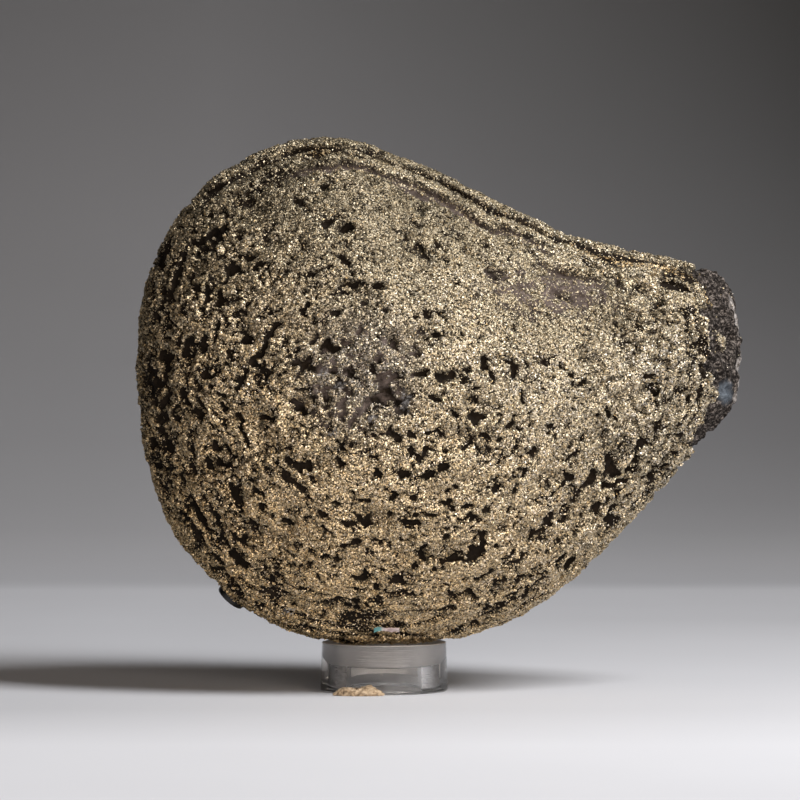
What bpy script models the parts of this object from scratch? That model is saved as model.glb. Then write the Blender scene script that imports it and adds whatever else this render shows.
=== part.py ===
"""Pyrite concretion with a snapped end, resting on a short clear acrylic ring.

Metres, +Z up. The flat lens of the concretion stands on its rim, its two broad faces
towards -Y (front) and +Y (back), and its snapped end towards +X. The origin is on the
surface that the ring stands on, under the middle of the whole object.
"""
import math

import bmesh
import bpy
import numpy as np
from mathutils import Matrix, Vector, noise

MM = 0.001
GAP = 0.3 * MM                      # clearance between pieces that touch

# Clear ring: a short thick-walled acrylic tube, countersunk from above, that the stone sits on
RING_X = -13.7 * MM
RING_Y = 0.0 * MM
RING_OUTER = 32.2 * MM / 2          # at the foot
RING_OUTER_TOP = 31.3 * MM / 2      # the side leans in a little
RING_BORE = 19.05 * MM / 2
RING_MOUTH = 27.0 * MM / 2          # radius of the countersink at the top
RING_CONE_Z = 6.3 * MM              # where the countersink meets the bore
RING_HEIGHT = 12.1 * MM
RING_BEVEL = 0.25 * MM
RING_SIDES = 64
SEAT_MARGIN = 0.05 * MM             # spare room that the coarse faces of the stone need
SEAT_FADE = 1.3 * MM                # the stone is pressed flat from this far inside the mouth,
SEAT_FULL = 0.7 * MM                # and fully from here

# Concretion: a pear-shaped lens, drawn as a radius for each angle about its thickest point
LENS_X = -9.7 * MM
LENS_Z = 71.9 * MM
LENS_HALF_DEPTH = 38.0 * MM
OUTLINE = (                         # degrees from +X towards +Z, and radius in millimetres
    (0, 85.9), (8, 95.4), (16, 96.2), (24, 85.5), (34, 70.5), (44, 61.2), (56, 58.1),
    (68, 57.1), (88, 61.8), (99, 67.2), (112, 72.1), (130, 74.4), (150, 72.3), (172, 67.3),
    (188, 65.7), (205, 65.8), (240, 64.1), (268, 61.0), (290, 61.4), (315, 62.3),
    (331, 65.0), (346, 72.2), (355.5, 80.2),
)
NECK_START = -5.0 * MM              # the lens thins from here to the snapped end
NECK_THINNING = 0.26                # share of the depth lost at the snapped end
SURFACE_LEVELS = 7                  # subdivisions of the sphere that the lens starts from
CONCRETION_TRIANGLES = 7900

# Relief of the crust. A seed shifts a noise pattern, so it picks where its highs and lows fall
SWELL_LENGTH = 30.0 * MM
SWELL_HEIGHT = 1.1 * MM
SWELL_SEED = 11.3
LUMP_LENGTH = 11.0 * MM
LUMP_HEIGHT = 0.7 * MM
LUMP_SEED = 4.7
PIT_SIZE = Vector((10.0, 3.2, 6.0)) * MM    # along X, through the bedding, along Z
PIT_SEED = 27.9
PIT_DEPTH = 1.7 * MM
PIT_START = 0.12                    # noise level where a pit begins
PIT_FULL = 0.50                     # noise level where it is at full depth
LEDGES = (-18.5, -10.5, -4.5, 3.5, 9.5, 17.0)       # bedding grooves, millimetres from mid plane
LEDGE_WIDTH = 1.15 * MM
LEDGE_DEPTH = 1.25 * MM
LEDGE_WANDER = 2.2 * MM             # how far a groove drifts along its way
LEDGE_WANDER_LENGTH = 26.0 * MM
LEDGE_WANDER_SEED = 61.2
LEDGE_FADE_LENGTH = 19.0 * MM       # a groove comes and goes over this length
LEDGE_FADE_SEED = 83.5
LEDGE_FADE_START = -0.45            # noise level where a groove begins
LEDGE_FADE_FULL = 0.25              # noise level where it is at full depth
RIM_START = 0.45                    # share of the depth where the rim begins
RIM_FULL = 0.05
RIM_CALM = 0.35                     # share of the relief that reaches the outline
SPOT_FADE = 1.25                    # a pressed spot fades out up to this many radii

# Snapped end: a rough face towards +X, and a band broken off obliquely in front of it
BREAK_X = 77.0 * MM
BREAK_BOW = 2.4 * MM                # how far the face falls back at its top and bottom
BREAK_LEAN = 0.06                   # rise of the face towards the back
BAND_EDGE_X = 68.6 * MM             # where the oblique band meets the crust in front
BAND_EDGE_Y = -15.5 * MM
BAND_SLOPE = 0.62                   # X gained for each metre towards the back
BAND_BOW = 6.0 * MM                 # how far the band runs back along the crust at its ends
BREAK_Z = 84.5 * MM                 # middle height of the snapped end
BREAK_HALF_HEIGHT = 18.0 * MM
BREAK_BOW_LIMIT = 1.3               # the bow stops growing past this many half heights, squared
BREAK_NOISE_SHARE = 0.5             # of a step's or grain's height, for each unit of noise
BREAK_NOISE_DROP = 0.2              # how far steps and grain lie under the plain face
BREAK_STEP = 2.6 * MM               # height of the steps where the beds snapped
BREAK_STEP_SIZE = Vector((9.0, 3.4, 9.0)) * MM
BREAK_STEP_SEED = 5.1
BREAK_GRAIN = 1.1 * MM
BREAK_GRAIN_SIZE = Vector((3.0, 3.0, 3.0)) * MM
BREAK_GRAIN_SEED = 9.4

# Rubber foot stuck on the rim, low on the left and a little behind the middle
BUMPER_RADIUS = 4.15 * MM
BUMPER_HEIGHT = 2.5 * MM
BUMPER_ANGLE = 228.8                # degrees about the lens centre
BUMPER_BACK = 11.0                  # degrees from the outline towards the back
BUMPER_SEAT = 63.8 * MM             # distance of its seat from the lens centre
BUMPER_Y = 4.6 * MM
BUMPER_EDGE = 0.3                   # share of its height that is straight

# Blank paper scrap on the underside, in front of the ring
LABEL_SIZE = Vector((6.5, 2.7, 0.3)) * MM
LABEL_X = -13.0 * MM
LABEL_Y = -14.8 * MM
LABEL_Z = 16.3 * MM
LABEL_CORNER = 0.8 * MM
LABEL_TILT = 36.0                   # degrees that its face turns from straight down to the front

# Crumb of putty at the foot of the ring
PUTTY_X = -19.9 * MM
PUTTY_SIZE = Vector((12.8, 4.2, 2.8)) * MM
PUTTY_GAP = 0.35 * MM               # clearance to the ring
PUTTY_HUMP = 0.2                    # rise of the two humps, as a share of the height
PUTTY_HUMP_SPACING = 1.05           # in half lengths
PUTTY_HUMP_PLACE = 0.42             # of the right hump, in half lengths from the middle
PUTTY_POINT = 0.35                  # how much the left end narrows
PUTTY_ROUGHNESS = 0.16
PUTTY_SUNK = 0.35                   # share of the lower half that shows above the floor
PUTTY_TUCK = 0.75                   # of its half depth, that its middle lies in front of the ring
PUTTY_LUMPS = 2.6                   # lumps of its rough surface in a half length
PUTTY_SEED = Vector((3.1, 8.2, 5.5))


def clear_scene():
    for scene_object in list(bpy.data.objects):
        bpy.data.objects.remove(scene_object, do_unlink=True)


def make_collection(name):
    collection = bpy.data.collections.new(name)
    bpy.context.scene.collection.children.link(collection)
    return collection


def make_material(name, colour, roughness, metallic=0.0, transmission=0.0, ior=1.5):
    material = bpy.data.materials.new(name)
    material.use_nodes = True
    shader = material.node_tree.nodes["Principled BSDF"]
    shader.inputs["Base Color"].default_value = (*colour, 1.0)
    shader.inputs["Roughness"].default_value = roughness
    shader.inputs["Metallic"].default_value = metallic
    shader.inputs["Transmission Weight"].default_value = transmission
    shader.inputs["IOR"].default_value = ior
    return material


def make_object(collection, name, shape, material, smooth_angle=None):
    mesh = bpy.data.meshes.new(name)
    shape.to_mesh(mesh)
    shape.free()
    mesh.materials.append(material)
    if smooth_angle is not None:
        mesh.shade_smooth()
        mesh.set_sharp_from_angle(angle=math.radians(smooth_angle))
    new_object = bpy.data.objects.new(name, mesh)
    collection.objects.link(new_object)
    return new_object


def smoothstep(low, high, value):
    share = np.clip((value - low) / (high - low), 0.0, 1.0)
    return share * share * (3.0 - 2.0 * share)


def outline_radius(degrees):
    """Radius of the outline at each angle: a closed smooth curve through OUTLINE."""
    angle = np.array([point[0] for point in OUTLINE], dtype=float)
    radius = np.array([point[1] for point in OUTLINE], dtype=float) * MM
    angle = np.concatenate([angle[-2:] - 360.0, angle, angle[:3] + 360.0])
    radius = np.concatenate([radius[-2:], radius, radius[:3]])
    degrees = np.mod(degrees, 360.0)
    after = np.searchsorted(angle, degrees, side="right")
    step = angle[after] - angle[after - 1]
    slope_in = (radius[after] - radius[after - 2]) / (angle[after] - angle[after - 2]) * step
    slope_out = (radius[after + 1] - radius[after - 1])
    slope_out = slope_out / (angle[after + 1] - angle[after - 1]) * step
    share = (degrees - angle[after - 1]) / step
    start = (2 * share**3 - 3 * share**2 + 1) * radius[after - 1]
    end = (3 * share**2 - 2 * share**3) * radius[after]
    bend = (share**3 - 2 * share**2 + share) * slope_in + (share**3 - share**2) * slope_out
    return start + end + bend


def noise_field(points, size, seed):
    """Smooth noise, about -1 to 1, whose grain is size long on each axis."""
    scaled = points / np.array(size) + seed
    return np.array([noise.noise(Vector(point)) for point in scaled])


def lens_points(directions):
    """Places on the plain lens for directions on a sphere, before any relief."""
    degrees = np.degrees(np.arctan2(directions[:, 2], directions[:, 0]))
    scale = outline_radius(degrees)
    points = np.empty_like(directions)
    points[:, 0] = LENS_X + directions[:, 0] * scale
    points[:, 2] = LENS_Z + directions[:, 2] * scale
    thinning = 1.0 - NECK_THINNING * smoothstep(NECK_START, BREAK_X, points[:, 0])
    points[:, 1] = directions[:, 1] * LENS_HALF_DEPTH * thinning
    return points


def crust_relief(points, rim_share):
    """Height of the crust above the plain lens: swells, lumps, pits and bedding grooves."""
    swell = noise_field(points, SWELL_LENGTH, SWELL_SEED) * SWELL_HEIGHT
    lump = noise_field(points, LUMP_LENGTH, LUMP_SEED) * LUMP_HEIGHT
    pit_noise = noise_field(points, PIT_SIZE, PIT_SEED)
    pits = -PIT_DEPTH * smoothstep(PIT_START, PIT_FULL, pit_noise)
    wander = noise_field(points, LEDGE_WANDER_LENGTH, LEDGE_WANDER_SEED) * LEDGE_WANDER
    fade = noise_field(points, LEDGE_FADE_LENGTH, LEDGE_FADE_SEED)
    strength = smoothstep(LEDGE_FADE_START, LEDGE_FADE_FULL, fade)
    ledges = np.zeros(len(points))
    for ledge in LEDGES:
        distance = (points[:, 1] + wander - ledge * MM) / LEDGE_WIDTH
        ledges -= LEDGE_DEPTH * strength * np.exp(-distance**2)
    calm = 1.0 - (1.0 - RIM_CALM) * rim_share
    return (swell + lump) * calm + pits * calm + ledges


def snap_end(points):
    """Cuts the thin end back to the rough face and the oblique band in front of it."""
    off_middle = ((points[:, 2] - BREAK_Z) / BREAK_HALF_HEIGHT) ** 2
    off_middle = np.minimum(off_middle, BREAK_BOW_LIMIT)
    face = BREAK_X + BREAK_LEAN * points[:, 1] - BREAK_BOW * off_middle
    band = BAND_EDGE_X + BAND_SLOPE * (points[:, 1] - BAND_EDGE_Y) - BAND_BOW * off_middle
    limit = np.minimum(face, band)
    across = points * np.array((0.0, 1.0, 1.0))
    steps = noise_field(across, BREAK_STEP_SIZE, BREAK_STEP_SEED)
    grain = noise_field(across, BREAK_GRAIN_SIZE, BREAK_GRAIN_SEED)
    limit += BREAK_STEP * (BREAK_NOISE_SHARE * steps - BREAK_NOISE_DROP)
    limit += BREAK_GRAIN * (BREAK_NOISE_SHARE * grain - BREAK_NOISE_DROP)
    points[:, 0] = np.minimum(points[:, 0], limit)


def flatten_spot(points, centre, outward, radius):
    """Presses a flat spot: nothing within radius of the axis stands above the centre."""
    offset = points - np.array(centre)
    height = offset @ np.array(outward)
    aside = np.linalg.norm(offset - np.outer(height, np.array(outward)), axis=1)
    blend = 1.0 - smoothstep(radius, radius * SPOT_FADE, aside)
    near = np.abs(height) < 2 * radius
    cut = np.clip(height, 0.0, None) * blend * near
    points -= np.outer(cut, np.array(outward))


def clear_ring_rim(points):
    """Wears the underside flat where it lies on the rim of the ring."""
    from_axis = np.hypot(points[:, 0] - RING_X, points[:, 1] - RING_Y)
    over_rim = smoothstep(RING_MOUTH - SEAT_FADE, RING_MOUTH - SEAT_FULL, from_axis)
    seat = RING_HEIGHT + GAP + SEAT_MARGIN
    lift = np.clip(seat - points[:, 2], 0.0, None) * over_rim
    points[:, 2] += lift


def bumper_frame():
    """Middle of the foot's seat and the direction that the foot points in."""
    angle = math.radians(BUMPER_ANGLE)
    back = math.radians(BUMPER_BACK)
    outward = Vector((math.cos(angle) * math.cos(back), math.sin(back),
                      math.sin(angle) * math.cos(back)))
    seat = Vector((LENS_X + math.cos(angle) * BUMPER_SEAT, BUMPER_Y,
                   LENS_Z + math.sin(angle) * BUMPER_SEAT))
    return seat, outward


def label_frame():
    """Middle of the scrap's back and the direction that its face looks in."""
    tilt = math.radians(LABEL_TILT)
    return Vector((LABEL_X, LABEL_Y, LABEL_Z)), Vector((0.0, -math.sin(tilt), -math.cos(tilt)))


def make_concretion(collection):
    """The stone itself, one solid from rim to rim."""
    shape = bmesh.new()
    bmesh.ops.create_icosphere(shape, subdivisions=SURFACE_LEVELS, radius=1.0)
    directions = np.array([vertex.co for vertex in shape.verts])
    directions /= np.linalg.norm(directions, axis=1)[:, None]
    points = lens_points(directions)
    for vertex, point in zip(shape.verts, points):
        vertex.co = point
    shape.normal_update()
    outward = np.array([vertex.normal for vertex in shape.verts])
    rim_share = smoothstep(RIM_START, RIM_FULL, np.abs(directions[:, 1]))
    points += outward * crust_relief(points, rim_share)[:, None]
    snap_end(points)
    seat, foot_direction = bumper_frame()
    flatten_spot(points, seat, foot_direction, BUMPER_RADIUS + GAP)
    back, face_direction = label_frame()
    flatten_spot(points, back, face_direction, LABEL_SIZE.to_2d().length / 2)
    clear_ring_rim(points)
    for vertex, point in zip(shape.verts, points):
        vertex.co = point
    material = make_material("pyrite_crust", (0.34, 0.27, 0.16), 0.42, metallic=0.8)
    stone = make_object(collection, "concretion", shape, material)
    thin = stone.modifiers.new("Fewer faces", "DECIMATE")
    thin.ratio = CONCRETION_TRIANGLES / len(stone.data.polygons)


def make_ring(collection):
    """The clear ring: its profile turned about the ring's axis, with eased edges."""
    shape = bmesh.new()
    profile = ((RING_BORE, 0.0), (RING_OUTER, 0.0), (RING_OUTER_TOP, RING_HEIGHT),
               (RING_MOUTH, RING_HEIGHT), (RING_BORE, RING_CONE_Z))
    corners = [shape.verts.new((radius, 0.0, height)) for radius, height in profile]
    for start, end in zip(corners, corners[1:] + corners[:1]):
        shape.edges.new((start, end))
    bmesh.ops.spin(shape, geom=shape.verts[:] + shape.edges[:], cent=(0, 0, 0), axis=(0, 0, 1),
                   angle=math.tau, steps=RING_SIDES, use_merge=True)
    bmesh.ops.recalc_face_normals(shape, faces=shape.faces[:])
    sharp = [edge for edge in shape.edges if edge.calc_face_angle(0.0) > math.radians(25)]
    bmesh.ops.bevel(shape, geom=sharp, offset=RING_BEVEL, offset_type="OFFSET", segments=1,
                    profile=0.5, affect="EDGES", material=-1)
    bmesh.ops.translate(shape, verts=shape.verts[:], vec=(RING_X, RING_Y, 0.0))
    material = make_material("clear_acrylic", (0.96, 0.97, 0.97), 0.05, transmission=1.0, ior=1.49)
    make_object(collection, "display_ring", shape, material, smooth_angle=30)


def make_bumper(collection):
    """The rubber foot: a low dome on a short straight edge."""
    shape = bmesh.new()
    bmesh.ops.create_uvsphere(shape, u_segments=24, v_segments=12, radius=1.0)
    bmesh.ops.bisect_plane(shape, geom=shape.verts[:] + shape.edges[:] + shape.faces[:],
                           plane_co=(0, 0, 0), plane_no=(0, 0, 1), clear_inner=True)
    for vertex in shape.verts:
        vertex.co.x *= BUMPER_RADIUS
        vertex.co.y *= BUMPER_RADIUS
        vertex.co.z = (BUMPER_EDGE + (1.0 - BUMPER_EDGE) * vertex.co.z) * BUMPER_HEIGHT
    rim = [edge for edge in shape.edges if edge.is_boundary]
    lower = bmesh.ops.extrude_edge_only(shape, edges=rim)["geom"]
    for item in lower:
        if isinstance(item, bmesh.types.BMVert):
            item.co.z = 0.0
    bottom = [edge for edge in shape.edges if edge.is_boundary]
    bmesh.ops.contextual_create(shape, geom=bottom)
    bmesh.ops.recalc_face_normals(shape, faces=shape.faces[:])
    seat, outward = bumper_frame()
    place = Matrix.Translation(seat + outward * GAP)
    place = place @ outward.to_track_quat("Z", "Y").to_matrix().to_4x4()
    bmesh.ops.transform(shape, matrix=place, verts=shape.verts[:])
    material = make_material("black_rubber", (0.012, 0.012, 0.013), 0.3)
    make_object(collection, "rubber_bumper", shape, material, smooth_angle=40)


def make_label(collection):
    """The paper scrap: a thin plate with rounded corners, left blank."""
    shape = bmesh.new()
    bmesh.ops.create_cube(shape, size=1.0)
    bmesh.ops.scale(shape, vec=LABEL_SIZE, verts=shape.verts[:])
    upright = [edge for edge in shape.edges
               if abs(edge.verts[0].co.z - edge.verts[1].co.z) > LABEL_SIZE.z * 0.5]
    bmesh.ops.bevel(shape, geom=upright, offset=LABEL_CORNER, offset_type="OFFSET", segments=3,
                    profile=0.5, affect="EDGES", material=-1)
    back, outward = label_frame()
    place = Matrix.Translation(back + outward * (GAP + LABEL_SIZE.z / 2))
    place = place @ outward.to_track_quat("Z", "Y").to_matrix().to_4x4()
    bmesh.ops.transform(shape, matrix=place, verts=shape.verts[:])
    material = make_material("label_paper", (0.72, 0.60, 0.56), 0.6)
    make_object(collection, "label_scrap", shape, material, smooth_angle=30)


def make_putty(collection):
    """The crumb: a long lump with two humps and a pointed left end, flat underneath."""
    shape = bmesh.new()
    bmesh.ops.create_icosphere(shape, subdivisions=3, radius=1.0)
    half = PUTTY_SIZE / 2
    keep_out = RING_OUTER + PUTTY_GAP
    front = -math.sqrt(keep_out**2 - (PUTTY_X - RING_X) ** 2)
    centre = Vector((PUTTY_X, front - half.y * PUTTY_TUCK, 0.0))
    for vertex in shape.verts:
        along = vertex.co.x
        phase = math.tau * (along - PUTTY_HUMP_PLACE) / PUTTY_HUMP_SPACING
        narrow = 1.0 - PUTTY_POINT * max(0.0, -along) ** 2
        rough = 1.0 + PUTTY_ROUGHNESS * noise.noise(vertex.co * PUTTY_LUMPS + PUTTY_SEED)
        top = PUTTY_SIZE.z * (1.0 - PUTTY_HUMP + PUTTY_HUMP * math.cos(phase))
        height = max(0.0, vertex.co.z + PUTTY_SUNK) / (1.0 + PUTTY_SUNK)
        offset = Vector((along * half.x, vertex.co.y * half.y * narrow * rough,
                         height * top * narrow * rough))
        vertex.co = centre + offset
        from_axis = Vector((vertex.co.x - RING_X, vertex.co.y - RING_Y))
        if from_axis.length < keep_out:
            from_axis = from_axis.normalized() * keep_out
            vertex.co.x = RING_X + from_axis.x
            vertex.co.y = RING_Y + from_axis.y
    material = make_material("dried_putty", (0.30, 0.21, 0.14), 0.85)
    make_object(collection, "putty_lump", shape, material, smooth_angle=60)


def main():
    clear_scene()
    collection = make_collection("pyrite_concretion")
    make_concretion(collection)
    make_ring(collection)
    make_bumper(collection)
    make_label(collection)
    make_putty(collection)


if __name__ == "__main__":
    main()
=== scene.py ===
"""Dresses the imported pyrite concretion: crusted stone, clear ring, rubber foot, scrap and putty.

The stone's solid is copied, evened out, sunk by the height of its grains, and opened into voids
that follow the bedding. Three forms of pyrite grain are then strewn over what stays proud.
"""

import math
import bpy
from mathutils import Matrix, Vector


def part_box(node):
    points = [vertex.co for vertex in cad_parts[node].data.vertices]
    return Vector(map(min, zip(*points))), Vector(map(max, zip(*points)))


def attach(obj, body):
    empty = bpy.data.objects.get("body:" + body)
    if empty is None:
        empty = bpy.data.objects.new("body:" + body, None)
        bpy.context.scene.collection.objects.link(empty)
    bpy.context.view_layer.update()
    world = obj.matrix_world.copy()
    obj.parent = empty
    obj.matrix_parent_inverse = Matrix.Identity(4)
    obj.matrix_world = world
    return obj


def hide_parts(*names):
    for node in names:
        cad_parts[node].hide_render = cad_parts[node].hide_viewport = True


bl_info = {
    "name": "Pyrite Concretion Dresser",
    "version": (1, 0, 0),
    "blender": (4, 5, 0),
    "location": "View3D > Sidebar > Concretion",
    "description": "Builds the crust, grains and display ring of a pyrite concretion",
    "category": "Object",
}

import bmesh
import bpy
import numpy as np
from bpy.props import FloatProperty, FloatVectorProperty, IntProperty, PointerProperty
from bpy.types import Operator, Panel, PropertyGroup
from mathutils import Matrix, Vector, noise

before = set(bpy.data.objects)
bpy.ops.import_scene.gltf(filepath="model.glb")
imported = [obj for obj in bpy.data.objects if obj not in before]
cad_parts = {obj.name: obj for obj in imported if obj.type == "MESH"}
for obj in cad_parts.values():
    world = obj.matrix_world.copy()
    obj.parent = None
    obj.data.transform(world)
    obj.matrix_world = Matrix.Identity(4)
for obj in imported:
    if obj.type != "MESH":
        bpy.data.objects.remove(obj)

MM = 0.001
BAKE_MAP = "OFBake"                 # name of a piece's own map for baking its colours

STONE_LOW, STONE_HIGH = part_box("concretion")
RING_LOW, RING_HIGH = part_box("display_ring")
RING_MIDDLE = (RING_LOW + RING_HIGH) / 2


# Numbers on the surface

def smoothstep(low, high, value):
    share = np.clip((value - low) / (high - low), 0.0, 1.0)
    return share * share * (3.0 - 2.0 * share)


def rise(low, high, lengths):
    """Smoothstep of lengths between two places that are given in millimetres."""
    return smoothstep(low * MM, high * MM, lengths)


def noise_at(points, size, seed):
    """Smooth noise, about -1 to 1, whose lumps are size long on each axis, in millimetres."""
    scaled = points / (np.array(size) * MM * np.ones(3)) + seed
    return np.array([noise.noise(Vector(point)) for point in scaled])


def patch_share(points, centre, radii, soft):
    """1 in the middle of an ellipsoid and 0 outside it, fading over its outer part."""
    away = np.linalg.norm((points - np.array(centre) * MM) / (np.array(radii) * MM), axis=1)
    return 1.0 - smoothstep(1.0 - soft, 1.0, away)


def vertex_numbers(mesh, what="co"):
    found = np.empty(len(mesh.vertices) * 3, np.float32)
    if what == "normal":
        mesh.vertex_normals.foreach_get("vector", found)
    else:
        mesh.vertices.foreach_get(what, found)
    return found.reshape(-1, 3).astype(float)


def set_attribute(mesh, name, values):
    layer = mesh.attributes.new(name, "FLOAT", "POINT")
    layer.data.foreach_set("value", np.asarray(values, np.float32))


# Objects

def show(name, mesh, materials, nodes=()):
    """Links a finished piece, with its finishes, and ties it to the frame."""
    mesh.name = name
    for material in materials:
        mesh.materials.append(material)
    piece = bpy.data.objects.new(name, mesh)
    bpy.context.scene.collection.objects.link(piece)
    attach(piece, "root")
    if nodes:
        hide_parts(*nodes)
    return piece


def to_mesh(shape, name):
    mesh = bpy.data.meshes.new(name)
    shape.to_mesh(mesh)
    shape.free()
    return mesh


def node_copy(node):
    """A bmesh of a node's solid, with the loose corners of its triangles merged."""
    shape = bmesh.new()
    shape.from_mesh(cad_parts[node].data)
    bmesh.ops.remove_doubles(shape, verts=shape.verts[:], dist=0.001 * MM)
    return shape


def ease_edges(shape, angle, width, segments):
    """Rounds every edge of a bmesh that turns by more than an angle in degrees."""
    sharp = [edge for edge in shape.edges if edge.calc_face_angle(0.0) > math.radians(angle)]
    bmesh.ops.bevel(shape, geom=sharp, offset=width, offset_type="OFFSET", segments=segments,
                    profile=0.5, affect="EDGES", material=-1)


def with_modifiers(mesh, modifiers):
    """The mesh that a stack of modifiers makes of this one."""
    holder = bpy.data.objects.new("holder", mesh)
    bpy.context.scene.collection.objects.link(holder)
    for kind, settings in modifiers:
        modifier = holder.modifiers.new(kind.title(), kind)
        for key, value in settings.items():
            setattr(modifier, key, value)
    graph = bpy.context.evaluated_depsgraph_get()
    made = bpy.data.meshes.new_from_object(holder.evaluated_get(graph))
    bpy.data.objects.remove(holder)
    return made


def solid_axes(node):
    """Middle of a node's box and its own axes, longest first, by the spread of its corners."""
    points = vertex_numbers(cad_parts[node].data)
    low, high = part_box(node)
    axes = np.linalg.svd(points - points.mean(axis=0), full_matrices=False)[2]
    return (low + high) / 2, [Vector(axis) for axis in axes]


# Materials

def new_material(name):
    material = bpy.data.materials.new(name)
    material.use_nodes = True
    tree = material.node_tree
    return material, tree, tree.nodes["Principled BSDF"]


def add_node(tree, kind, **values):
    """A shader node; values name its inputs, with underscores for spaces, or its settings."""
    made = tree.nodes.new(kind)
    for key, value in values.items():
        label = key.replace("_", " ")
        if label in made.inputs:
            made.inputs[label].default_value = value
        else:
            setattr(made, key, value)
    return made


def ramp(tree, factor, stops):
    """A colour ramp over a factor socket; stops are (position, colour)."""
    made = tree.nodes.new("ShaderNodeValToRGB")
    band = made.color_ramp
    while len(band.elements) < len(stops):
        band.elements.new(1.0)
    for element, (position, colour) in zip(band.elements, stops):
        element.position = position
        element.color = (*colour, 1.0)
    tree.links.new(factor, made.inputs["Fac"])
    return made.outputs["Color"]


def grey_ramp(tree, factor, low, high, dark=0.0, light=1.0):
    return ramp(tree, factor, ((low, (dark,) * 3), (high, (light,) * 3)))


def fill_inputs(tree, inputs, values):
    """Links each input to a socket, or sets it to a number or colour."""
    for socket, value in zip(inputs, values):
        if isinstance(value, bpy.types.NodeSocket):
            tree.links.new(value, socket)
        else:
            socket.default_value = value


def fill_shader(tree, shader, **values):
    """Fills the shader's own inputs, with underscores for spaces."""
    labels = [key.replace("_", " ") for key in values]
    fill_inputs(tree, [shader.inputs[label] for label in labels], values.values())


def math_node(tree, operation, *values):
    made = add_node(tree, "ShaderNodeMath", operation=operation)
    fill_inputs(tree, made.inputs, values)
    return made.outputs[0]


def vector_node(tree, operation, *values):
    made = add_node(tree, "ShaderNodeVectorMath", operation=operation)
    fill_inputs(tree, made.inputs, values)
    return made.outputs[0]


def mix_colour(tree, factor, under, over, blend="MIX"):
    made = add_node(tree, "ShaderNodeMix", data_type="RGBA", blend_type=blend)
    colours = [(*value, 1.0) if isinstance(value, tuple) else value for value in (under, over)]
    fill_inputs(tree, (made.inputs["Factor"], made.inputs[6], made.inputs[7]), (factor, *colours))
    return made.outputs[2]


def times(tree, colour, other):
    return mix_colour(tree, 1.0, colour, other, "MULTIPLY")


def noise_node(tree, place, scale, detail=3.0, roughness=0.55):
    made = add_node(tree, "ShaderNodeTexNoise", Scale=scale, Detail=detail, Roughness=roughness)
    tree.links.new(place, made.inputs["Vector"])
    return made.outputs["Fac"]


def attribute(tree, name):
    return add_node(tree, "ShaderNodeAttribute", attribute_name=name).outputs["Fac"]


def object_place(tree, stretch=None):
    place = tree.nodes.new("ShaderNodeTexCoord").outputs["Object"]
    if stretch is None:
        return place
    mapping = add_node(tree, "ShaderNodeMapping", Scale=stretch)
    tree.links.new(place, mapping.inputs["Vector"])
    return mapping.outputs["Vector"]


def map_range(tree, value, low, high):
    """How far a socket's value lies along the way from low to high, 0 to 1."""
    made = add_node(tree, "ShaderNodeMapRange", From_Min=low, From_Max=high)
    tree.links.new(value, made.inputs["Value"])
    return made.outputs["Result"]


def bump_node(tree, height, strength, distance):
    bump = add_node(tree, "ShaderNodeBump", Strength=strength, Distance=distance)
    tree.links.new(height, bump.inputs["Height"])
    return bump.outputs["Normal"]


def add_bump(tree, shader, height, strength, distance):
    fill_shader(tree, shader, Normal=bump_node(tree, height, strength, distance))


# Settings

def length(name, description, millimetres):
    return FloatProperty(name=name, description=description, default=millimetres * MM,
                         unit="LENGTH", precision=5)


def colour_property(name, description, value):
    return FloatVectorProperty(name=name, description=description, default=value,
                               subtype="COLOR", size=3)


class StoneSettings(PropertyGroup):
    face_size: length("Face size", "Edge of the stone's even faces", 0.62)
    sink: length("Sink", "How far the stone lies under the grain tips", 0.20)
    void_depth: length("Void depth", "Depth of the voids in the crust", 1.6)
    crease_depth: length("Crease depth", "Depth of the creases between lumps", 0.95)
    knob_depth: length("Knob depth", "Depth of the valleys between the knobs", 1.7)
    ledge_depth: length("Ledge depth", "Depth of the grooves along the top rim", 2.5)
    ripple: length("Ripple", "Height of the fine lumps of the crust", 0.46)
    matrix: colour_property("Matrix", "Colour of the dark shale in the voids", (0.010, 0.0066, 0.004))
    worn_matrix: colour_property("Worn matrix", "Rubbed and dusty shale", (0.118, 0.094, 0.084))
    crust: colour_property("Crust", "Colour of the finest crystals of the crust", (0.72, 0.627, 0.463))


class GrainSettings(PropertyGroup):
    smallest: length("Smallest", "Width of the smallest grain", 0.27)
    largest: length("Largest", "Width of the largest grain", 0.60)
    density: FloatProperty(name="Density", description="Share of the places that hold a grain",
                           default=0.70, subtype="FACTOR", min=0.0, max=1.0)
    front_tries: IntProperty(name="Front tries", description="Places tried on each face of the front half",
                             default=4, min=1)
    back_tries: IntProperty(name="Back tries", description="Places tried on each face of the back half",
                            default=3, min=1)
    cubes: FloatProperty(name="Cubes", description="Share of grains that are whole cubes",
                         default=0.02, subtype="FACTOR", min=0.0, max=1.0)
    octahedra: FloatProperty(name="Octahedra", description="Share of grains that are octahedra",
                             default=0.03, subtype="FACTOR", min=0.0, max=1.0)
    seed: IntProperty(name="Seed", description="Picks where and how the grains fall", default=29)
    brass: colour_property("Brass", "Colour of a clean grain", (0.77, 0.682, 0.515))


class RingSettings(PropertyGroup):
    sides: IntProperty(name="Sides", description="Sides of the turned ring", default=160)
    edge: length("Edge", "Width of the eased edges", 0.25)
    bore: length("Bore", "Radius of the straight bore", 9.525)
    mouth: length("Mouth", "Radius of the countersink at the top", 13.5)
    cone_foot: length("Cone foot", "Height where countersink meets bore", 6.3)
    # Above this height the bore's far wall is a white matt band: a painted highlight.
    highlight_foot: length("Haze foot", "Where the haze on the bore's far wall ends", 2.7)
    lean: length("Lean", "How much less the radius is at the top", 0.45)


class FootSettings(PropertyGroup):
    radius: length("Radius", "Radius of the rubber foot", 4.1)
    height: length("Height", "Height of the rubber foot", 2.45)
    edge: length("Edge", "Width of the eased edges", 0.32)


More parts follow.
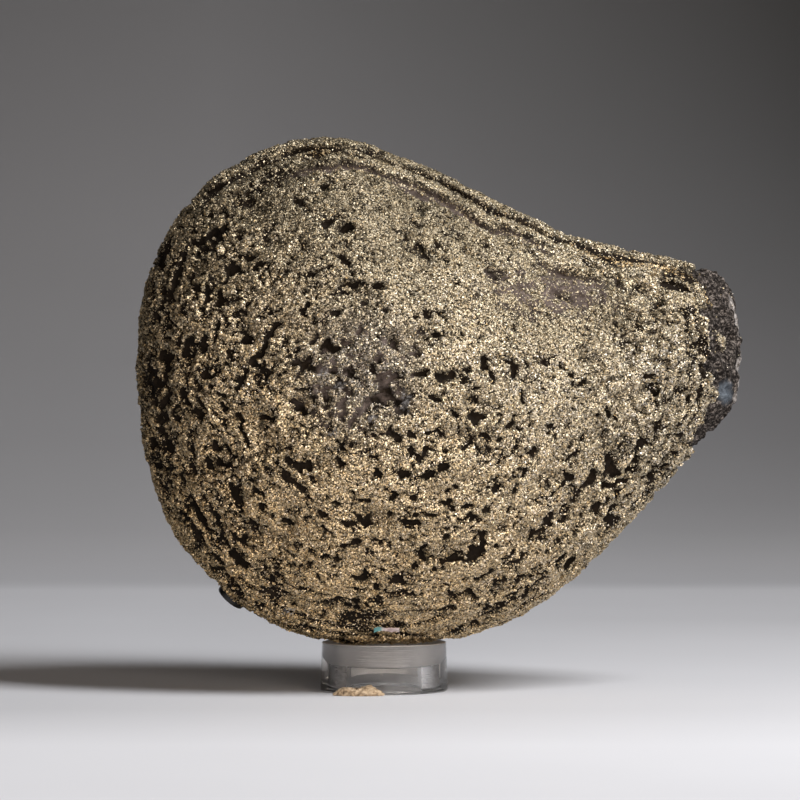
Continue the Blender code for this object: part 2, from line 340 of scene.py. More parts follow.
class ScrapSettings(PropertyGroup):
    length: length("Length", "Length of the paper scrap", 6.3)
    width: length("Width", "Width of the paper scrap", 2.3)
    thickness: length("Thickness", "Thickness of the paper", 0.14)
    curl: length("Curl", "How far the ends lift off the stone", 0.45)


class PuttySettings(PropertyGroup):
    crumble: length("Crumble", "Height of the putty's rough grain", 0.34)


class StudioSettings(PropertyGroup):
    key_power: FloatProperty(name="Key", description="Power of the key light",
                             default=13.5, unit="POWER")
    fill_power: FloatProperty(name="Fill", description="Power of the fill light",
                              default=12.4, unit="POWER")
    front_power: FloatProperty(name="Front", description="Power of the light in front",
                               default=1.2, unit="POWER")
    surround: FloatProperty(name="Surround", description="Light of the brightest side of the room",
                            default=0.055, subtype="FACTOR", min=0.0, max=1.0)


# Stone: where the crust is worn, dusty, warm or open

STONE_HALF_DEPTH = 38.0 * MM
SEAM_Y = 3.0 * MM                   # the stone's two halves meet behind its outline
DUSTY = ((-19.5, -38.0, 80.0), (21.0, 26.0, 22.0))
RUBBED = ((29.0, -30.0, 100.5), (28.0, 26.0, 10.5))
COOL = ((54.0, -24.0, 80.0), (13.0, 20.0, 14.0))
FLAKE = ((73.6, -6.5, 73.4), (2.6, 6.0, 5.0))
SMEAR = ((66.0, -14.0, 102.5), (5.0, 8.0, 3.0))
RIND = ((77.0, -2.0, 86.0), (6.0, 7.0, 19.0))
RIND_Y = -0.4 * MM                  # the snapped end's pale rind begins at this depth
FACE_MIDDLE = (-12.0 * MM, 76.0 * MM)       # X and Z of the middle of the rounded face
WINDING_RADIUS = 42.0 * MM
LOWER_RIGHT = ((30.0, -26.0, 44.0), (26.0, 30.0, 24.0))
LOBE = ((33.0, -30.0, 98.0), (36.0, 34.0, 18.0))
SHADED = ((-22.0, -26.0, 112.0), (30.0, 30.0, 16.0))
# Grooves along the top: depth at X 0, depth gained for each metre along X, half width, start, end
LEDGES = (
    (-9.3 * MM, 0.035, 2.0 * MM, -46.0 * MM, 80.0 * MM),
    (-16.4 * MM, 0.050, 1.3 * MM, -42.0 * MM, 34.0 * MM),
)
SMUDGES = (                         # X, Z, half width and half height, in millimetres
    (-8.5, 73.0, 1.6, 2.8), (-28.5, 79.5, 1.3, 1.3), (-23.9, 76.6, 1.6, 1.0),
    (-16.4, 68.7, 1.4, 0.9), (-25.8, 65.1, 1.3, 1.0), (-37.4, 20.5, 1.6, 0.8),
)
WARM_LEFT = 5.8                     # warmth gained for each metre to the left, partly painted warm light
WARM_LOW = 8.4                      # and for each metre down
WARM_TINT = (1.20, 1.05, 0.82)      # what full warmth multiplies the colour of the crystals by
SNAPPED_X = 67.6 * MM               # the snapped end begins here at the front face
SNAPPED_Y = -15.5 * MM
SNAPPED_SLOPE = 0.62                # X gained for each metre towards the back
SNAPPED_BACK_X = 72.0 * MM          # and here on its far side
SNAPPED_Z = 84.5 * MM
SNAPPED_HALF_HEIGHT = 18.0 * MM
SNAPPED_BOW = 5.4 * MM              # how far its edge runs back at the top and bottom
SNAPPED_RECESS = 2.4 * MM           # depth of the bare shale under the edge of the crust
SNAPPED_SHELF = 4.0 * MM            # it is back at the level of the solid this far from the edge
KNOB_DULLNESS_AND_SHADE = 0.35                 # how much duller the valleys between the knobs are, and how much painted shade darkens them
SNAPPED_COLOURS = (                 # attribute, then place and colour of its dark and its light end
    ("smear", 0.35, (0.045, 0.040, 0.038), 0.65, (0.210, 0.195, 0.190)),
    ("flake", 0.35, (0.030, 0.036, 0.045), 0.65, (0.105, 0.125, 0.150)),
    ("rind", 0.40, (0.070, 0.062, 0.056), 0.62, (0.360, 0.340, 0.330)),
)


def ring_place(points):
    """Places wound round the middle of the face, so that patterns run along rings about it."""
    across, up = points[:, 0] - FACE_MIDDLE[0], points[:, 2] - FACE_MIDDLE[1]
    away = np.hypot(across, up)
    steady = WINDING_RADIUS / np.maximum(away, 0.01 * MM)
    drift = away + 3.0 * MM * noise_at(points, 14.0, 8.8)
    return np.stack([across * steady, drift, up * steady], axis=1), away


def openness(points):
    """How much more readily than at the middle the crust opens at each place."""
    x, y, z = points.T
    left = 1.0 - rise(-66.0, -24.0, x)
    left += 0.4 * (1.0 - rise(-72.0, -58.0, x))
    neck = rise(2.0, 26.0, x) * rise(44.0, 60.0, z)
    top = rise(80.0, 100.0, z) * rise(-56.0, -40.0, x)
    shoulder = rise(84.0, 98.0, z) * (1.0 - rise(-52.0, -34.0, x))
    edge = 1.0 - rise(3.0, 9.0, np.abs(y))
    foot = 1.0 - rise(18.0, 28.0, z)
    shut = 0.10 * neck + 0.46 * patch_share(points, *LOBE, 0.4) + 0.19 * top
    shut += 0.25 * edge + 0.06 * shoulder + 0.16 * foot
    more = 0.13 * patch_share(points, *DUSTY, 0.5) + 0.06 * patch_share(points, *LOWER_RIGHT, 0.6)
    return 0.045 + 0.07 * left + more - shut


def warped(points, reach, size):
    """Places pushed about by up to reach millimetres, so that patterns on them get ragged outlines."""
    shifts = [noise_at(points, size, seed) for seed in (17.3, 99.1, 52.9)]
    return points + reach * MM * np.stack(shifts, axis=1)


def void_share(points):
    """1 where the crust is open down to the shale, 0 where it is whole."""
    opened = openness(points)
    ring, away = ring_place(points)
    bent = warped(points, 0.8, 2.4)
    inner = 1.0 - rise(12.0, 24.0, away)
    ringed = noise_at(ring, (6.4, 2.3, 6.4), 71.3)
    plain = noise_at(bent, (4.4, 2.4, 3.0), 14.9)
    lumps = noise_at(bent, (3.0, 1.6, 2.4), 61.7)
    small = noise_at(bent, (1.5, 1.0, 1.2), 23.5)
    pits = 0.72 * (ringed * (1.0 - inner) + plain * inner) + 0.55 * lumps + 0.34 * small
    pits = smoothstep(0.26, 0.37, pits + opened)
    level = points.copy()
    level[:, 1] += 1.8 * MM * noise_at(points, 13.0, 31.7)
    beds = noise_at(level, (3.6, 1.2, 3.2), 14.2)
    steep = 1.0 - smoothstep(0.35, 0.80, np.abs(points[:, 1]) / STONE_HALF_DEPTH)
    beds = smoothstep(0.38, 0.47, beds + 0.38 * small + 0.9 * opened) * steep
    return np.maximum(pits, beds)


def crease_share(points):
    """1 along the creases between the lumps of the crust, 0 on the lumps."""
    x = points[:, 0]
    bent = warped(points, 0.5, 1.6)
    lumps = np.abs(noise_at(bent, (2.9, 1.8, 2.5), 3.3))
    left = 1.0 - rise(-60.0, -20.0, x)
    strength = smoothstep(-0.25, 0.25, noise_at(points, 6.0, 44.4) + 0.4 * left)
    fine = (1.0 - smoothstep(0.03, 0.15 + 0.05 * left, lumps)) * strength
    return fine * (1.0 - 0.6 * rise(30.0, 48.0, x))


def knob_share(points):
    """1 in the valleys between the rounded lumps towards the snapped end."""
    x = points[:, 0]
    bent = warped(points, 0.9, 2.6)
    knobs = np.abs(noise_at(bent, (4.4, 3.0, 4.0), 21.1))
    patchy = smoothstep(-0.60, 0.05, noise_at(points, 11.0, 83.2))
    return (1.0 - smoothstep(0.0, 0.32, knobs)) * rise(26.0, 46.0, x) * patchy


def strata_share(points):
    """1 in the long thin grooves between the beds, round the steep rim."""
    _, y, z = points.T
    level = points.copy()
    level[:, 1] += 1.2 * MM * noise_at(points, 15.0, 9.4) + 0.25 * MM * noise_at(points, 1.6, 2.2)
    lines = np.abs(noise_at(level, (30.0, 3.6, 30.0), 50.6))
    foot = 1.0 - rise(20.0, 34.0, z)
    steep = 1.0 - smoothstep(0.35 + 0.3 * foot, 0.70 + 0.2 * foot, np.abs(y) / STONE_HALF_DEPTH)
    strength = smoothstep(-0.50, 0.0, noise_at(points, 12.0, 35.9) + 0.2 * foot)
    return (1.0 - smoothstep(0.03, 0.12 + 0.06 * foot, lines)) * steep * strength


def hollow_share(mesh, points, normals):
    """1 at the bottom of the solid's own grooves, found by how far they lie under an evened copy."""
    evened = with_modifiers(mesh.copy(), (("SMOOTH", {"factor": 0.5, "iterations": 40}),))
    under = np.einsum("ij,ij->i", vertex_numbers(evened) - points, normals)
    return rise(0.14, 0.40, under)


def ledge_share(points, ledge):
    """1 in a groove that runs along the top of the rim, under the ledge behind it."""
    x, y, z = points.T
    depth, slope, half_width, start, end = ledge
    wander = 1.2 * MM * noise_at(points, 10.0, 57.3) + 0.5 * MM * noise_at(points, 2.0, 6.1)
    off = np.abs(y + wander - depth - slope * x)
    along = smoothstep(start, start + 12.0 * MM, x)
    along *= 1.0 - smoothstep(end - 12.0 * MM, end, x)
    top = rise(90.0, 97.0, z)
    return (1.0 - smoothstep(0.5 * half_width, half_width, off)) * along * top


def bare_share(points):
    """1 where crystals are rubbed off the whole crust and the shale shows."""
    patchy = noise_at(warped(points, 0.8, 1.8), (4.0, 2.2, 2.4), 12.7)
    rubbed = patch_share(points, *RUBBED, 0.7) * smoothstep(-0.34, 0.12, patchy)
    dusty = patch_share(points, *DUSTY, 0.7) * smoothstep(0.36, 0.52, noise_at(points, 2.4, 33.3))
    shelf = 0.8 * ledge_share(points, LEDGES[1])
    return np.maximum.reduce((rubbed, dusty, shelf))


def smudge_share(points):
    """1 where pale fibres are rubbed into the crystals of the front."""
    found = np.zeros(len(points))
    torn = noise_at(points, (0.7, 0.8, 0.45), 19.8)
    for across, up, half_width, half_height in SMUDGES:
        sideways = (points[:, 0] - across * MM) / half_width
        upwards = (points[:, 2] - up * MM) / half_height
        found = np.maximum(found, smoothstep(0.9, 0.4, np.hypot(sideways, upwards) / MM + 1.3 * torn))
    return found * (points[:, 1] < 0.0)


def warmth(points):
    """How yellow the crystals are: most at the lower left, not at all at the upper right. This slope is
    partly the crystals' own yellow and partly painted warm light.
    """
    x, _, z = points.T
    along = 0.79 - WARM_LEFT * x - WARM_LOW * z
    return np.clip(along, 0.0, 1.1) + 0.8 * ledge_share(points, LEDGES[0])


def dull_and_shaded_share(points):
    """1 where the grains are duller and coloured darker as painted shade: along the top, down the left,
    over the right lobe and in the shaded patch.
    """
    x, _, z = points.T
    top = rise(80.0, 118.0, z)
    top *= 1.0 - 0.7 * rise(0.0, 36.0, x)
    left = 1.0 - rise(-74.0, -50.0, x)
    patchy = 0.75 + 0.5 * noise_at(points, 9.0, 27.1)
    lobe = 0.7 * patch_share(points, *LOBE, 0.6)
    lobe += 0.6 * patch_share(points, *SHADED, 0.8)
    return np.clip(np.maximum.reduce((top, 0.8 * left, lobe)) * patchy, 0.0, 1.0)


def past_crust(points):
    """How far each point lies beyond the ragged edge of the crust, on the snapped end."""
    edge = SNAPPED_X + SNAPPED_SLOPE * (points[:, 1] - SNAPPED_Y)
    edge = np.minimum(edge, SNAPPED_BACK_X)
    off_middle = ((points[:, 2] - SNAPPED_Z) / SNAPPED_HALF_HEIGHT) ** 2
    edge -= SNAPPED_BOW * np.minimum(off_middle, 1.4)
    edge += 2.0 * MM * noise_at(points, 6.0, 77.7) + 1.2 * MM * noise_at(points, 1.8, 5.5)
    return points[:, 0] - edge


def stone_mesh(settings):
    """The stone without its grains, and what its surface is like at each vertex."""
    coarse = to_mesh(node_copy("concretion"), "coarse")
    even = with_modifiers(coarse, (
        ("SUBSURF", {"levels": 1, "render_levels": 1}),
        ("REMESH", {"mode": "VOXEL", "voxel_size": settings.face_size}),
    ))
    points = vertex_numbers(even)
    normals = vertex_numbers(even, "normal")
    past = past_crust(points)
    snapped = rise(-0.4, 0.4, past)
    whole = 1.0 - snapped
    void = void_share(points) * whole
    knob = knob_share(points) * whole
    front_ledge, back_ledge = (ledge_share(points, ledge) for ledge in LEDGES)
    ledge = np.maximum(front_ledge, back_ledge) * whole
    bare = bare_share(points) * whole
    crease = np.maximum(crease_share(points), strata_share(points))
    crease = np.maximum(crease, 0.8 * hollow_share(even, points, normals)) * whole

    ripple = noise_at(points, 4.2, 13.9) + 0.6 * noise_at(points, 1.5, 90.1)
    opened = np.maximum(settings.void_depth * void, settings.crease_depth * crease)
    crust = settings.sink + settings.ripple * (0.35 - ripple) + (opened + settings.knob_depth * knob)
    crust = np.maximum(crust, settings.ledge_depth * ledge)
    torn = noise_at(points, (2.4, 0.8, 1.6), 40.4)
    shelf = SNAPPED_RECESS * (1.0 - smoothstep(0.0, SNAPPED_SHELF, past))
    broken = shelf + settings.ripple * (0.9 - 2.0 * torn)
    moved = points - normals * (crust * whole + broken * snapped)[:, None]
    even.vertices.foreach_set("co", moved.astype(np.float32).ravel())
    even.update()
    even.shade_smooth()

    # Painted shade: the valleys between the knobs are coloured dark like the creases.
    crease = np.maximum(crease, 0.85 * smoothstep(0.66, 0.95, knob))
    worn = np.maximum(patch_share(points, *DUSTY, 0.6), patch_share(points, *RUBBED, 0.6))
    rind = points[:, 1] + 1.8 * MM * noise_at(points, 2.6, 64.8)
    rind = smoothstep(RIND_Y - 0.3 * MM, RIND_Y + 0.3 * MM, rind)
    # The crease mask colours the creases, grooves, knob valleys and front ledge groove dark: partly shale
    # between the crystals, partly painted shade.
    for name, values in (
        ("void", void),
        ("crease", np.maximum(crease, front_ledge)),
        ("smudge", 0.7 * smudge_share(points)),
        ("tarnish", np.maximum(dull_and_shaded_share(points), KNOB_DULLNESS_AND_SHADE * knob)),
        ("snapped", snapped),
        ("bare", bare),
        ("warmth", warmth(points)),
        ("worn", np.maximum(worn, bare) * whole),
        ("flake", patch_share(points, *FLAKE, 0.35) * snapped),
        ("rind", rind * patch_share(points, *RIND, 0.2) * snapped),
        ("smear", patch_share(points, *SMEAR, 0.7) * snapped),
    ):
        set_attribute(even, name, values)
    return even


def crystal_cells(tree, place, size):
    """Cells of about this size, as a random colour for each and the distance from its middle."""
    cells = add_node(tree, "ShaderNodeTexVoronoi", Scale=1.0 / size)
    tree.links.new(place, cells.inputs["Vector"])
    return cells.outputs["Color"], cells.outputs["Distance"]


def tilted_normal(tree, normal, colour, amount):
    """The normal leant over by a cell's random colour, as a crystal's face leans."""
    lean = vector_node(tree, "SUBTRACT", colour, (0.5, 0.5, 0.5))
    scaled = add_node(tree, "ShaderNodeVectorMath", operation="SCALE")
    fill_inputs(tree, (scaled.inputs[0], scaled.inputs["Scale"]), (lean, amount))
    return vector_node(tree, "NORMALIZE", vector_node(tree, "ADD", normal, scaled.outputs[0]))


def crust_material(settings):
    """Fine brassy crystals over dark shale, which shows in the voids, the worn places and the break.
    Painted shade darkens the creases and grooves, the edges of the crystals, and the crystals along the top
    and down the left.
    """
    material, tree, shader = new_material("pyrite_crust")
    place = object_place(tree)
    bedded = object_place(tree, (1.0, 3.0, 1.0))
    broad = noise_node(tree, bedded, 260.0, 4.0)
    colour = ramp(tree, broad, ((0.30, [c * 0.45 for c in settings.matrix]),
                                (0.55, settings.matrix[:]),
                                (0.78, [c * 2.2 for c in settings.matrix])))
    patchy = grey_ramp(tree, noise_node(tree, place, 240.0, 3.0), 0.44, 0.60)
    rubbed = math_node(tree, "MAXIMUM", attribute(tree, "bare"), patchy)
    fibrous = noise_node(tree, object_place(tree, (1.0, 3.5, 1.6)), 640.0, 4.0, 0.7)
    dusty = ramp(tree, fibrous, ((0.35, [c * 0.45 for c in settings.worn_matrix]),
                                 (0.62, [c * 1.15 for c in settings.worn_matrix])))
    colour = mix_colour(tree, math_node(tree, "MULTIPLY", attribute(tree, "worn"), rubbed), colour, dusty)
    speckled = noise_node(tree, object_place(tree, (1.0, 1.6, 1.2)), 980.0, 5.0, 0.8)
    torn = ramp(tree, speckled, ((0.41, (0.003, 0.002, 0.002)), (0.515, (0.017, 0.014, 0.012)),
                                 (0.635, (0.190, 0.166, 0.152))))
    colour = mix_colour(tree, attribute(tree, "snapped"), colour, torn)
    for name, dark_at, dark, light_at, light in SNAPPED_COLOURS:
        shade = ramp(tree, fibrous, ((dark_at, dark), (light_at, light)))
        colour = mix_colour(tree, attribute(tree, name), colour, shade)
    fibres = grey_ramp(tree, fibrous, 0.42, 0.56, 0.15)
    fibres = math_node(tree, "MULTIPLY", attribute(tree, "smudge"), fibres)
    colour = mix_colour(tree, fibres, colour, (0.42, 0.42, 0.435))
    # Shale where the crust is lost; in the creases, grooves and knob valleys this darkness is partly
    # painted shade.
    lost = math_node(tree, "MULTIPLY", attribute(tree, "crease"), 0.9)
    for name in ("void", "snapped", "smudge", "bare"):
        lost = math_node(tree, "MAXIMUM", lost, attribute(tree, name))
    covered = grey_ramp(tree, lost, 0.15, 0.55, 1.0, 0.0)
    cell, distance = crystal_cells(tree, place, 0.44 * MM)
    tone = tree.nodes.new("ShaderNodeSeparateColor")
    tree.links.new(cell, tone.inputs[0])
    crystals = ramp(tree, tone.outputs[0], ((0.0, [c * 0.22 for c in settings.crust]),
                                            (0.5, [c * 0.66 for c in settings.crust]),
                                            (1.0, settings.crust[:])))
    # Painted shade: each crystal darkens towards its edge, as in the gaps between grains.
    crystals = times(tree, crystals, grey_ramp(tree, distance, 0.32, 0.58, 1.0, 0.15))
    # Warmth: partly the crystals' own yellow, partly painted warm light from the lower left.
    crystals = mix_colour(tree, attribute(tree, "warmth"), crystals, times(tree, crystals, WARM_TINT))
    # Painted shade: crystals darker along the top, down the left, over the right lobe and in the knob
    # valleys.
    crystals = times(tree, crystals, grey_ramp(tree, attribute(tree, "tarnish"), 0.0, 1.0, 1.0, 0.6))
    grain = noise_node(tree, place, 1300.0, 3.0, 0.7)
    rough = mix_colour(tree, covered, grey_ramp(tree, grain, 0.2, 0.8, 0.75, 0.95), (0.42, 0.42, 0.42))
    bumped = bump_node(tree, grain, 0.7, 0.25 * MM)
    leaning = tilted_normal(tree, bumped, cell, math_node(tree, "MULTIPLY", covered, 1.5))
    fill_shader(tree, shader, Base_Color=mix_colour(tree, covered, colour, crystals),
                Metallic=math_node(tree, "MULTIPLY", covered, 0.85), Roughness=rough,
                Specular_IOR_Level=0.12, Normal=leaning)
    return material


def half_of(mesh, front):
    """The front or the back half of a mesh, cut between its faces near the middle plane."""
    shape = bmesh.new()
    shape.from_mesh(mesh)
    other = [face for face in shape.faces if (face.calc_center_median().y < SEAM_Y) != front]
    bmesh.ops.delete(shape, geom=other, context="FACES")
    return to_mesh(shape, "half")


class CONCRETION_OT_stone(Operator):
    """Builds the stone under its grains, with voids along the bedding"""
    bl_idname = "concretion.stone"
    bl_label = "Stone"

    def execute(self, context):
        settings = context.scene.concretion_stone
        mesh = stone_mesh(settings)
        material = crust_material(settings)
        show("stone_front", half_of(mesh, True), [material], ("concretion",))
        show("stone_back", half_of(mesh, False), [material], ("concretion",))
        return {"FINISHED"}


# Grains

GOLDEN_SHARE = 0.03                 # grains that are much yellower than the rest
COOL_CHANCE = 0.2                   # grains that look bluish in the cool patch
CORNER_LEAN = math.radians(42.0)
CUTS_X = (-27.0 * MM, 13.0 * MM)    # where the cube corners are cut into pieces of under 150,000 triangles


def corner_grain():
    """The corner of a cube: three faces, open where it sinks into the stone."""
    shape = bmesh.new()
    bmesh.ops.create_cone(shape, segments=3, radius1=0.816, radius2=0.0, depth=0.577, cap_ends=False)
    bmesh.ops.remove_doubles(shape, verts=shape.verts[:], dist=0.001)
    return shape


def cube_grain():
    shape = bmesh.new()
    bmesh.ops.create_cube(shape, size=0.82)
    return shape


def octahedron_grain():
    shape = bmesh.new()
    half = 0.55
    for sign in (-1.0, 1.0):
        place = Matrix.Translation((0, 0, sign * half / 2)) @ Matrix.Scale(sign, 4, (0, 0, 1))
        bmesh.ops.create_cone(shape, segments=4, radius1=half, radius2=0.0, depth=half, cap_ends=False,
                              matrix=place)
    bmesh.ops.remove_doubles(shape, verts=shape.verts[:], dist=0.001)
    bmesh.ops.recalc_face_normals(shape, faces=shape.faces[:])
    return shape


def random_turns(chance, count):
    """Rotation matrices spread evenly over all turns."""
    four = chance.normal(size=(count, 4))
    w, x, y, z = (four / np.linalg.norm(four, axis=1)[:, None]).T
    rows = [
        [1 - 2 * (y * y + z * z), 2 * (x * y - z * w), 2 * (x * z + y * w)],
        [2 * (x * y + z * w), 1 - 2 * (x * x + z * z), 2 * (y * z - x * w)],
        [2 * (x * z - y * w), 2 * (y * z + x * w), 1 - 2 * (x * x + y * y)],
    ]
    return np.moveaxis(np.array(rows), 2, 0)


def turns_to(directions, chance, tilt):
    """Rotations that stand +Z about along the directions, leaning by up to tilt radians."""
    lean = directions + chance.normal(size=directions.shape) * math.tan(tilt) * 0.6
    up = lean / np.linalg.norm(lean, axis=1)[:, None]
    side = np.cross(up, chance.normal(size=up.shape))
    side /= np.linalg.norm(side, axis=1)[:, None]
    return np.stack([side, np.cross(up, side), up], axis=2)


def joined_grains(shape, grains):
    """One mesh with a copy of the shape for each grain: its place, turn, size and finish."""
    corners = np.array([vertex.co for vertex in shape.verts])
    faces = [[vertex.index for vertex in face.verts] for face in shape.faces]
    shape.free()
    count = len(grains["place"])
    points = np.einsum("nij,vj->nvi", grains["turn"], corners)
    points = points * grains["size"][:, None, None] + grains["place"][:, None, :]
    totals = np.tile([len(face) for face in faces], count)
    loops = np.concatenate(faces)[None, :] + len(corners) * np.arange(count)[:, None]
    mesh = bpy.data.meshes.new("grains")
    mesh.vertices.add(count * len(corners))
    mesh.vertices.foreach_set("co", points.astype(np.float32).ravel())
    mesh.loops.add(loops.size)
    mesh.loops.foreach_set("vertex_index", loops.astype(np.int32).ravel())
    mesh.polygons.add(len(totals))
    mesh.polygons.foreach_set("loop_start", (np.cumsum(totals) - totals).astype(np.int32))
    mesh.update(calc_edges=True)
    for name in ("tint", "dust", "warmth", "cool", "tarnish"):
        set_attribute(mesh, name, np.repeat(grains[name], len(corners)))
    across = math.ceil(math.sqrt(count))
    cell = np.stack([np.arange(count) % across, np.arange(count) // across], axis=1)
    square = np.array(((0.1, 0.1), (0.9, 0.1), (0.9, 0.9), (0.1, 0.9)))
    inside = np.concatenate([square[:len(face)] for face in faces])
    places = (cell[:, None, :] + inside[None, :, :]) / across
    mesh.uv_layers.new(name=BAKE_MAP).uv.foreach_set("vector", places.astype(np.float32).ravel())
    return mesh


def grain_sites(mesh, settings, tries, chance):
    """Places on the crust for the grains, with the outward direction at each."""
    corner = np.empty(len(mesh.loops), np.int32)
    mesh.loops.foreach_get("vertex_index", corner)
    corner = corner.reshape(-1, 4)
    given = {"place": vertex_numbers(mesh), "outward": vertex_numbers(mesh, "normal")}
    for name in ("void", "snapped", "crease", "bare"):
        values = np.empty(len(mesh.vertices), np.float32)
        mesh.attributes[name].data.foreach_get("value", values)
        given[name] = values.astype(float)[:, None]
    found = {name: [] for name in given}
    for strip in range(tries):
        across, up = chance.random((2, len(corner)))
        across = (across + strip) / tries
        weights = np.stack([(1 - across) * (1 - up), across * (1 - up), across * up, (1 - across) * up])
        for name, values in given.items():
            found[name].append(np.einsum("cf,fck->fk", weights, values[corner]))
    found = {name: np.concatenate(parts) for name, parts in found.items()}
    places = found["place"]
    whole = 1.0 - np.maximum(found["void"], found["snapped"])[:, 0]
    creased = found["crease"][:, 0]
    wanted = smoothstep(0.2, 0.8, whole) * settings.density * (1.0 - 0.8 * creased) + 0.003
    wanted *= 1.0 - 0.76 * found["bare"][:, 0]
    keep = chance.random(len(places)) < wanted
    return places[keep], found["outward"][keep]


def pyrite_material(settings):
    """Brassy metal whose tint, dust and warmth are set grain by grain; painted shade darkens the grains
    along the top, down the left and in the knob valleys, and the warmth is partly painted warm light.
    """
    material, tree, shader = new_material("pyrite_brass")
    brass = settings.brass
    tone = ramp(tree, attribute(tree, "tint"), (
        (0.0, (brass[0] * 0.30, brass[1] * 0.26, brass[2] * 0.20)),
        (0.35, (brass[0] * 0.72, brass[1] * 0.68, brass[2] * 0.60)),
        (0.7, brass[:]),
        (1.0, (brass[0] * 1.06, brass[1] * 1.14, brass[2] * 1.42)),
    ))
    # Warmth: partly the grains' own yellow, partly painted warm light from the lower left.
    warm = mix_colour(tree, attribute(tree, "warmth"), tone, times(tree, tone, WARM_TINT))
    cool = mix_colour(tree, attribute(tree, "cool"), warm, (0.45, 0.47, 0.51))
    dusty = mix_colour(tree, attribute(tree, "dust"), cool, (0.29, 0.265, 0.235))
    place = object_place(tree)
    cloud = grey_ramp(tree, noise_node(tree, place, 70.0, 2.0), 0.3, 0.7, 0.82, 1.0)
    # Painted shade: grains darker along the top, down the left, over the right lobe and in the knob
    # valleys.
    painted_shade = grey_ramp(tree, attribute(tree, "tarnish"), 0.0, 1.0, 1.0, 0.62)
    shine = noise_node(tree, place, 900.0, 1.0)
    clean = grey_ramp(tree, shine, 0.3, 0.7, 0.42, 0.60)
    fill_shader(tree, shader, Base_Color=times(tree, times(tree, dusty, cloud), painted_shade), Metallic=1.0,
                Roughness=mix_colour(tree, attribute(tree, "tarnish"), clean, (0.55, 0.55, 0.55)))
    return material


class CONCRETION_OT_grains(Operator):
    """Strews pyrite cubes, cube corners and octahedra over the crust of the stone"""
    bl_idname = "concretion.grains"
    bl_label = "Pyrite grains"

    def execute(self, context):
        settings = context.scene.concretion_grains
        chance = np.random.default_rng(settings.seed)
        halves = (("stone_front", settings.front_tries), ("stone_back", settings.back_tries))
        found = [grain_sites(bpy.data.objects[name].data, settings, tries, chance)
                 for name, tries in halves]
        places, directions = (np.concatenate(parts) for parts in zip(*found))
        count = len(places)
        spread = chance.random(count) ** 1.6
        size = settings.smallest + (settings.largest - settings.smallest) * spread
        dusty = patch_share(places, *DUSTY, 0.75)
        # Duller grains, also darkened as painted shade, along the top, down the left, over the right lobe
        # and in the knob valleys.
        dulled_and_shaded = np.maximum(dull_and_shaded_share(places), KNOB_DULLNESS_AND_SHADE * knob_share(places))
        grains = {
            "place": places,
            "size": size,
            "turn": random_turns(chance, count),
            "tint": chance.beta(1.7, 1.4, count) * (1.0 - 0.3 * dulled_and_shaded),
            "tarnish": dulled_and_shaded,
            "dust": np.clip(dusty * (0.45 + 0.9 * chance.random(count)), 0.0, 1.0),
            "warmth": warmth(places) + (chance.random(count) < GOLDEN_SHARE) * 0.8,
            "cool": np.maximum(patch_share(places, *COOL, 0.8) * (chance.random(count) < COOL_CHANCE) * 0.6,
                               0.8 * smudge_share(places)),
        }
        pick = chance.random(count)
        cubes = pick < settings.cubes
        corners = pick >= settings.cubes + settings.octahedra
        grains["turn"][corners] = turns_to(directions[corners], chance, CORNER_LEAN)
        pieces = [("pyrite_cubes", cube_grain, cubes),
                  ("pyrite_octahedra", octahedron_grain, ~(cubes | corners))]
        left = places[:, 0] < CUTS_X[0]
        right = places[:, 0] > CUTS_X[1]
        front = places[:, 1] < 0.0
        for side, on_side in (("front", front), ("back", ~front)):
            for third, in_third in (("left", left), ("middle", ~(left | right)), ("right", right)):
                name = "pyrite_corners_" + side + "_" + third
                pieces.append((name, corner_grain, corners & on_side & in_third))
        material = pyrite_material(settings)
        for name, form, chosen in pieces:
            mesh = joined_grains(form(), {key: value[chosen] for key, value in grains.items()})
            show(name, mesh, [material], ("concretion",))
        return {"FINISHED"}


# Clear ring

def acrylic(name, roughness):
    material, tree, shader = new_material(name)
    fill_shader(tree, shader, Base_Color=(0.95, 0.95, 0.95, 1.0), Transmission_Weight=1.0,
                IOR=1.49, Roughness=roughness)
    depth = add_node(tree, "ShaderNodeVolumeAbsorption", Color=(0.45, 0.42, 0.41, 1.0), Density=10.0)
    tree.links.new(depth.outputs["Volume"], tree.nodes["Material Output"].inputs["Volume"])
    return material, tree, shader


def clear_acrylic():
    """Clear acrylic with faint hairline scratches."""
    material, tree, shader = acrylic("ring_acrylic", 0.03)
    scratches = noise_node(tree, object_place(tree, (1.0, 1.0, 14.0)), 160.0, 3.0)
    fill_shader(tree, shader, Transmission_Weight=grey_ramp(tree, scratches, 0.3, 0.7, 0.95, 1.0))
    add_bump(tree, shader, scratches, 0.04, 0.1 * MM)
    return material


def matt_acrylic(name, clear, colour):
    """Acrylic as the lathe left it: matt, with fine turning marks and settled dust. With no clear share and
    a white colour it is the painted highlight band in the bore.
    """
    material, tree, shader = acrylic(name, 0.5)
    fill_shader(tree, shader, Transmission_Weight=clear, Base_Color=(*colour, 1.0))
    marks = noise_node(tree, object_place(tree, (0.3, 0.3, 9.0)), 420.0, 2.0)
    add_bump(tree, shader, marks, 0.5, 0.1 * MM)
    return material


